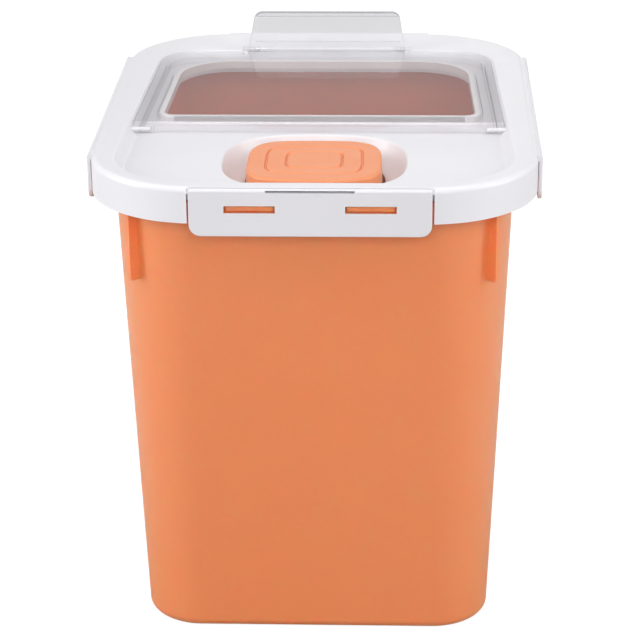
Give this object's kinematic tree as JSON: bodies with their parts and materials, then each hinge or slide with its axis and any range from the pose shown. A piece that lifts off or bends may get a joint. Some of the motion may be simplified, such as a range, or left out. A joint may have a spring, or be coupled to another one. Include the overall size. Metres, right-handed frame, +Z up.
{
  "type": "rice storage container",
  "caption": "Tapered plastic tub for dry rice with a latched lid, a clear flip cover with a clip over the scoop opening, and a measuring cup stored upside down in a nest in the lid.",
  "frame": {"origin": "middle of the container's box at floor level", "axes": "+Z up, the front with the measuring cup faces -Y, +X to the right seen from the front"},
  "size_m": [0.24, 0.3, 0.288],
  "materials": {
    "orange_plastic": "satin",
    "white_plastic": "semi-gloss",
    "clear_plastic": "polished",
    "seal_rubber": "matt"
  },
  "bodies": {
    "tub": {"tub": "orange_plastic"},
    "lid": {"lid": "white_plastic", "lid_seal": "seal_rubber", "cover_hinge_pin_left": "white_plastic", "cover_hinge_pin_right": "white_plastic"},
    "front_latch": {"front_latch": "white_plastic"},
    "left_latch": {"left_latch": "white_plastic"},
    "right_latch": {"right_latch": "white_plastic"},
    "back_latch": {"back_latch": "white_plastic"},
    "flip_cover": {"flip_cover": "clear_plastic", "cover_seal": "seal_rubber", "clip_hinge_pin_left": "clear_plastic", "clip_hinge_pin_right": "clear_plastic"},
    "cover_clip": {"cover_clip": "clear_plastic"},
    "measuring_cup": {"measuring_cup": "orange_plastic"}
  },
  "joints": [
    {"name": "lid_lift", "type": "slide", "parent": "tub", "child": "lid", "axis": [0, 0, 1], "range_m": [0, 0.08]},
    {"name": "front_latch_swing", "type": "hinge", "parent": "lid", "child": "front_latch", "pos_m": [0, -0.1484, 0.2643], "axis": [-1, 0, 0], "range_deg": [0, 110]},
    {"name": "back_latch_swing", "type": "hinge", "parent": "lid", "child": "back_latch", "pos_m": [0, 0.1484, 0.2643], "axis": [1, 0, 0], "range_deg": [0, 110]},
    {"name": "right_latch_swing", "type": "hinge", "parent": "lid", "child": "right_latch", "pos_m": [0.1184, 0, 0.2643], "axis": [0, -1, 0], "range_deg": [0, 110]},
    {"name": "left_latch_swing", "type": "hinge", "parent": "lid", "child": "left_latch", "pos_m": [-0.1184, 0, 0.2643], "axis": [0, 1, 0], "range_deg": [0, 110]},
    {"name": "cover_flip", "type": "hinge", "parent": "lid", "child": "flip_cover", "pos_m": [0, -0.038, 0.2623], "axis": [1, 0, 0], "range_deg": [0, 90]},
    {"name": "clip_swing", "type": "hinge", "parent": "flip_cover", "child": "cover_clip", "pos_m": [0, 0.1063, 0.2675], "axis": [-1, 0, 0], "range_deg": [-25, 60]},
    {"name": "cup_lift", "type": "slide", "parent": "lid", "child": "measuring_cup", "axis": [0, 0, 1], "range_m": [0, 0.07]}
  ]
}
